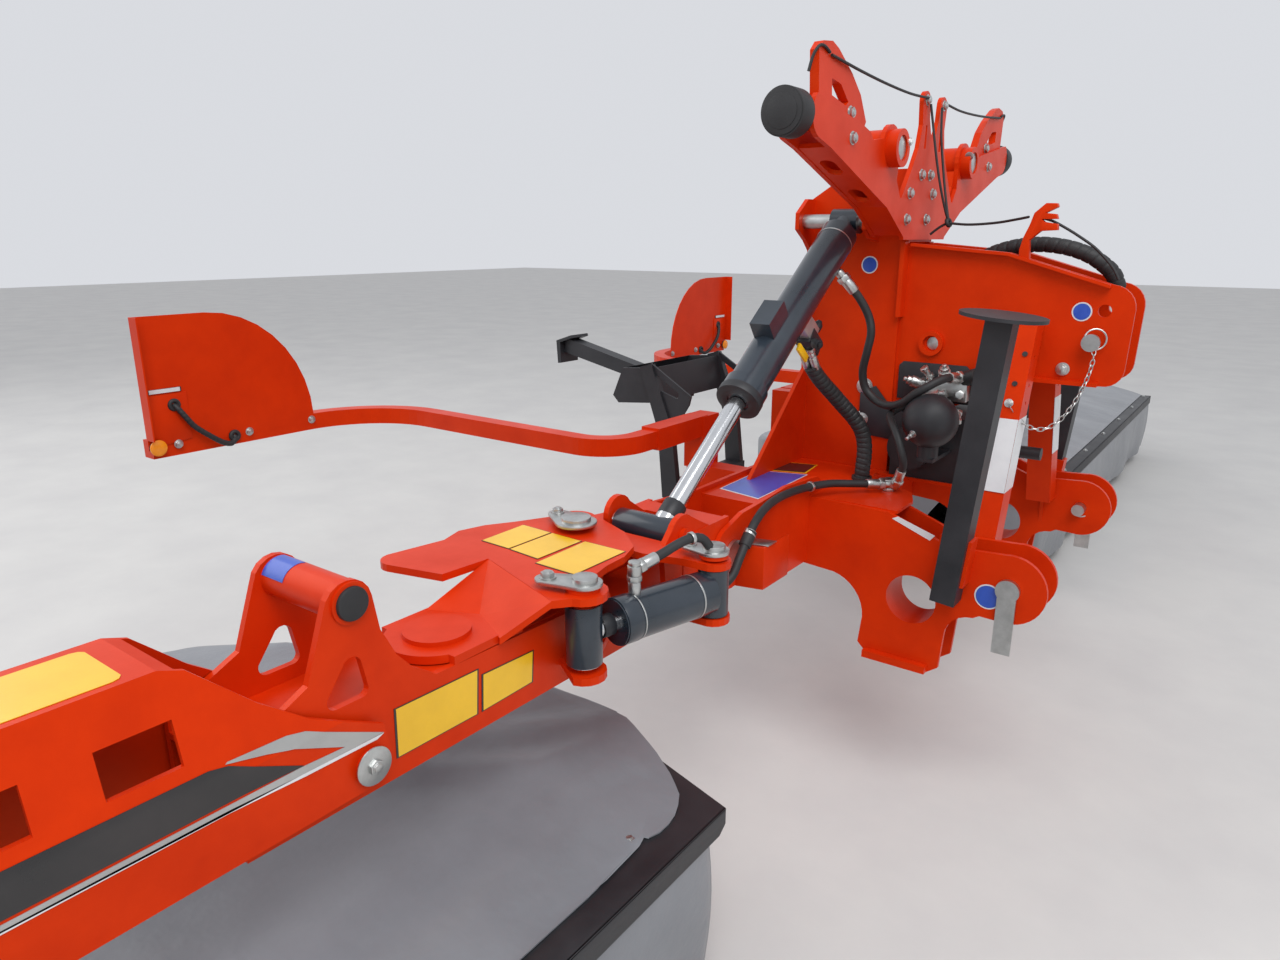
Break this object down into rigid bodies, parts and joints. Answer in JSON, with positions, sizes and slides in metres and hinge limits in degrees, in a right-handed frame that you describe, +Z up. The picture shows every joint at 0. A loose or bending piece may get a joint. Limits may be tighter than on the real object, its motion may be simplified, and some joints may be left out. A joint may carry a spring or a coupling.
{
  "type": "twin-wing three-point disc mower",
  "caption": "Rear three-point disc mower with a mast and yoke, two folding booms, covered cutting units and oval knife discs.",
  "frame": {"origin": "middle of the bounding box on the ground", "axes": "+X is the direction of travel, +Y is the machine's left, +Z is up"},
  "size_m": [2.185, 9, 1.91],
  "materials": {
    "orange_paint": "gloss powder coat, lightly dusty",
    "black_paint": "satin black paint",
    "black_casting": "painted casting",
    "cylinder_paint": "semi-gloss blue-black paint",
    "bright_steel": "zinc plated and ground steel",
    "disc_steel": "dark worn steel",
    "grey_canvas": "coated cloth with a fine weave"
  },
  "bodies": {
    "frame": {"hitch_frame": "orange_paint", "top_box": "orange_paint", "mast": "orange_paint", "yoke": "orange_paint", "hitch_pins": "bright_steel", "frame_pins": "bright_steel", "gearbox": "black_casting", "accumulator": "black_paint", "rear_support": "black_paint", "guard_right": "orange_paint", "guard_left": "orange_paint"},
    "fold_bracket_right": {"fold_bracket_right": "orange_paint"},
    "boom_right": {"boom_right": "orange_paint", "outer_arm_right": "orange_paint"},
    "unit_right": {"unit_frame_right": "black_paint", "cutterbar_right": "black_casting", "canvas_right": "grey_canvas"},
    "stand_leg_right": {"stand_leg_right": "black_paint"},
    "lift_barrel_right": {"lift_barrel_right": "cylinder_paint"},
    "lift_rod_right": {"lift_rod_right": "bright_steel"},
    "safety_barrel_right": {"safety_barrel_right": "cylinder_paint"},
    "safety_rod_right": {"safety_rod_right": "bright_steel"},
    "disc_1_right": {"disc_1_right": "disc_steel"},
    "disc_2_right": {"disc_2_right": "disc_steel"},
    "disc_3_right": {"disc_3_right": "disc_steel"},
    "disc_4_right": {"disc_4_right": "disc_steel"},
    "disc_5_right": {"disc_5_right": "disc_steel"},
    "disc_6_right": {"disc_6_right": "disc_steel"},
    "disc_7_right": {"disc_7_right": "disc_steel"},
    "fold_bracket_left": {"fold_bracket_left": "orange_paint"},
    "boom_left": {"boom_left": "orange_paint", "outer_arm_left": "orange_paint"},
    "unit_left": {"unit_frame_left": "black_paint", "cutterbar_left": "black_casting", "canvas_left": "grey_canvas"},
    "stand_leg_left": {"stand_leg_left": "black_paint"},
    "lift_barrel_left": {"lift_barrel_left": "cylinder_paint"},
    "lift_rod_left": {"lift_rod_left": "bright_steel"},
    "safety_barrel_left": {"safety_barrel_left": "cylinder_paint"},
    "safety_rod_left": {"safety_rod_left": "bright_steel"},
    "disc_1_left": {"disc_1_left": "disc_steel"},
    "disc_2_left": {"disc_2_left": "disc_steel"},
    "disc_3_left": {"disc_3_left": "disc_steel"},
    "disc_4_left": {"disc_4_left": "disc_steel"},
    "disc_5_left": {"disc_5_left": "disc_steel"},
    "disc_6_left": {"disc_6_left": "disc_steel"},
    "disc_7_left": {"disc_7_left": "disc_steel"}
  },
  "joints": [
    {"name": "fold_right", "type": "hinge", "parent": "frame", "child": "fold_bracket_right", "pos_m": [0.2985, -0.87, 0.77], "axis": [-1, 0, 0], "range_deg": [0, 95]},
    {"name": "break_away_right", "type": "hinge", "parent": "fold_bracket_right", "child": "boom_right", "pos_m": [0.1925, -1.165, 0.8], "axis": [0, 0, -1], "range_deg": [0, 15]},
    {"name": "float_right", "type": "hinge", "parent": "boom_right", "child": "unit_right", "pos_m": [0.2975, -2.875, 0.74], "axis": [-1, 0, 0], "range_deg": [-5, 5]},
    {"name": "disc_1_spin_right", "type": "hinge", "parent": "unit_right", "child": "disc_1_right", "pos_m": [0.2425, -1.555, 0.1], "axis": [0, 0, -1], "continuous": true},
    {"name": "disc_2_spin_right", "type": "hinge", "parent": "unit_right", "child": "disc_2_right", "pos_m": [0.2425, -1.995, 0.1], "axis": [0, 0, -1], "continuous": true},
    {"name": "disc_3_spin_right", "type": "hinge", "parent": "unit_right", "child": "disc_3_right", "pos_m": [0.2425, -2.435, 0.1], "axis": [0, 0, -1], "continuous": true},
    {"name": "disc_4_spin_right", "type": "hinge", "parent": "unit_right", "child": "disc_4_right", "pos_m": [0.2425, -2.875, 0.1], "axis": [0, 0, -1], "continuous": true},
    {"name": "disc_5_spin_right", "type": "hinge", "parent": "unit_right", "child": "disc_5_right", "pos_m": [0.2425, -3.315, 0.1], "axis": [0, 0, -1], "continuous": true},
    {"name": "disc_6_spin_right", "type": "hinge", "parent": "unit_right", "child": "disc_6_right", "pos_m": [0.2425, -3.755, 0.1], "axis": [0, 0, -1], "continuous": true},
    {"name": "disc_7_spin_right", "type": "hinge", "parent": "unit_right", "child": "disc_7_right", "pos_m": [0.2425, -4.195, 0.1], "axis": [0, 0, -1], "continuous": true},
    {"name": "stand_slide_right", "type": "slide", "parent": "frame", "child": "stand_leg_right", "axis": [0.0924, 0, 0.9957], "range_m": [0, 0.14]},
    {"name": "lift_turn_right", "type": "hinge", "parent": "frame", "child": "lift_barrel_right", "pos_m": [0.3525, -0.155, 1.542], "axis": [-1, 0, 0], "range_deg": [-8.55, 1]},
    {"name": "lift_stroke_right", "type": "slide", "parent": "lift_barrel_right", "child": "lift_rod_right", "axis": [0, -0.8029, -0.5962], "range_m": [-0.2876, 0.005]},
    {"name": "safety_turn_right", "type": "hinge", "parent": "fold_bracket_right", "child": "safety_barrel_right", "pos_m": [0.5395, -1.134, 0.8], "axis": [0, 0, -1], "range_deg": [-0.5, 9.64]},
    {"name": "safety_stroke_right", "type": "slide", "parent": "safety_barrel_right", "child": "safety_rod_right", "axis": [-0.2527, -0.9676, 0], "range_m": [-0.002, 0.085]},
    {"name": "fold_left", "type": "hinge", "parent": "frame", "child": "fold_bracket_left", "pos_m": [0.2985, 0.87, 0.77], "axis": [1, 0, 0], "range_deg": [0, 95]},
    {"name": "break_away_left", "type": "hinge", "parent": "fold_bracket_left", "child": "boom_left", "pos_m": [0.1925, 1.165, 0.8], "axis": [0, 0, 1], "range_deg": [0, 15]},
    {"name": "float_left", "type": "hinge", "parent": "boom_left", "child": "unit_left", "pos_m": [0.2975, 2.875, 0.74], "axis": [1, 0, 0], "range_deg": [-5, 5]},
    {"name": "disc_1_spin_left", "type": "hinge", "parent": "unit_left", "child": "disc_1_left", "pos_m": [0.2425, 1.555, 0.1], "axis": [0, 0, 1], "continuous": true},
    {"name": "disc_2_spin_left", "type": "hinge", "parent": "unit_left", "child": "disc_2_left", "pos_m": [0.2425, 1.995, 0.1], "axis": [0, 0, 1], "continuous": true},
    {"name": "disc_3_spin_left", "type": "hinge", "parent": "unit_left", "child": "disc_3_left", "pos_m": [0.2425, 2.435, 0.1], "axis": [0, 0, 1], "continuous": true},
    {"name": "disc_4_spin_left", "type": "hinge", "parent": "unit_left", "child": "disc_4_left", "pos_m": [0.2425, 2.875, 0.1], "axis": [0, 0, 1], "continuous": true},
    {"name": "disc_5_spin_left", "type": "hinge", "parent": "unit_left", "child": "disc_5_left", "pos_m": [0.2425, 3.315, 0.1], "axis": [0, 0, 1], "continuous": true},
    {"name": "disc_6_spin_left", "type": "hinge", "parent": "unit_left", "child": "disc_6_left", "pos_m": [0.2425, 3.755, 0.1], "axis": [0, 0, 1], "continuous": true},
    {"name": "disc_7_spin_left", "type": "hinge", "parent": "unit_left", "child": "disc_7_left", "pos_m": [0.2425, 4.195, 0.1], "axis": [0, 0, 1], "continuous": true},
    {"name": "stand_slide_left", "type": "slide", "parent": "frame", "child": "stand_leg_left", "axis": [0.0924, 0, 0.9957], "range_m": [0, 0.14]},
    {"name": "lift_turn_left", "type": "hinge", "parent": "frame", "child": "lift_barrel_left", "pos_m": [0.3525, 0.155, 1.542], "axis": [1, 0, 0], "range_deg": [-8.55, 1]},
    {"name": "lift_stroke_left", "type": "slide", "parent": "lift_barrel_left", "child": "lift_rod_left", "axis": [0, 0.8029, -0.5962], "range_m": [-0.2876, 0.005]},
    {"name": "safety_turn_left", "type": "hinge", "parent": "fold_bracket_left", "child": "safety_barrel_left", "pos_m": [0.5395, 1.134, 0.8], "axis": [0, 0, 1], "range_deg": [-0.5, 9.64]},
    {"name": "safety_stroke_left", "type": "slide", "parent": "safety_barrel_left", "child": "safety_rod_left", "axis": [-0.2527, 0.9676, 0], "range_m": [-0.002, 0.085]}
  ],
  "couplings": [
    {"joint": "disc_2_spin_right", "follows": "disc_1_spin_right", "ratio": -1},
    {"joint": "disc_3_spin_right", "follows": "disc_1_spin_right", "ratio": 1},
    {"joint": "disc_4_spin_right", "follows": "disc_1_spin_right", "ratio": -1},
    {"joint": "disc_5_spin_right", "follows": "disc_1_spin_right", "ratio": 1},
    {"joint": "disc_6_spin_right", "follows": "disc_1_spin_right", "ratio": -1},
    {"joint": "disc_7_spin_right", "follows": "disc_1_spin_right", "ratio": 1},
    {"joint": "lift_turn_right", "follows": "fold_right", "ratio": -0.08473},
    {"joint": "lift_stroke_right", "follows": "fold_right", "m_per_rad": -0.17222},
    {"joint": "safety_turn_right", "follows": "break_away_right", "ratio": 0.60913},
    {"joint": "safety_stroke_right", "follows": "break_away_right", "m_per_rad": 0.317},
    {"joint": "disc_2_spin_left", "follows": "disc_1_spin_left", "ratio": -1},
    {"joint": "disc_3_spin_left", "follows": "disc_1_spin_left", "ratio": 1},
    {"joint": "disc_4_spin_left", "follows": "disc_1_spin_left", "ratio": -1},
    {"joint": "disc_5_spin_left", "follows": "disc_1_spin_left", "ratio": 1},
    {"joint": "disc_6_spin_left", "follows": "disc_1_spin_left", "ratio": -1},
    {"joint": "disc_7_spin_left", "follows": "disc_1_spin_left", "ratio": 1},
    {"joint": "lift_turn_left", "follows": "fold_left", "ratio": -0.08473},
    {"joint": "lift_stroke_left", "follows": "fold_left", "m_per_rad": -0.17222},
    {"joint": "safety_turn_left", "follows": "break_away_left", "ratio": 0.60913},
    {"joint": "safety_stroke_left", "follows": "break_away_left", "m_per_rad": 0.317}
  ]
}
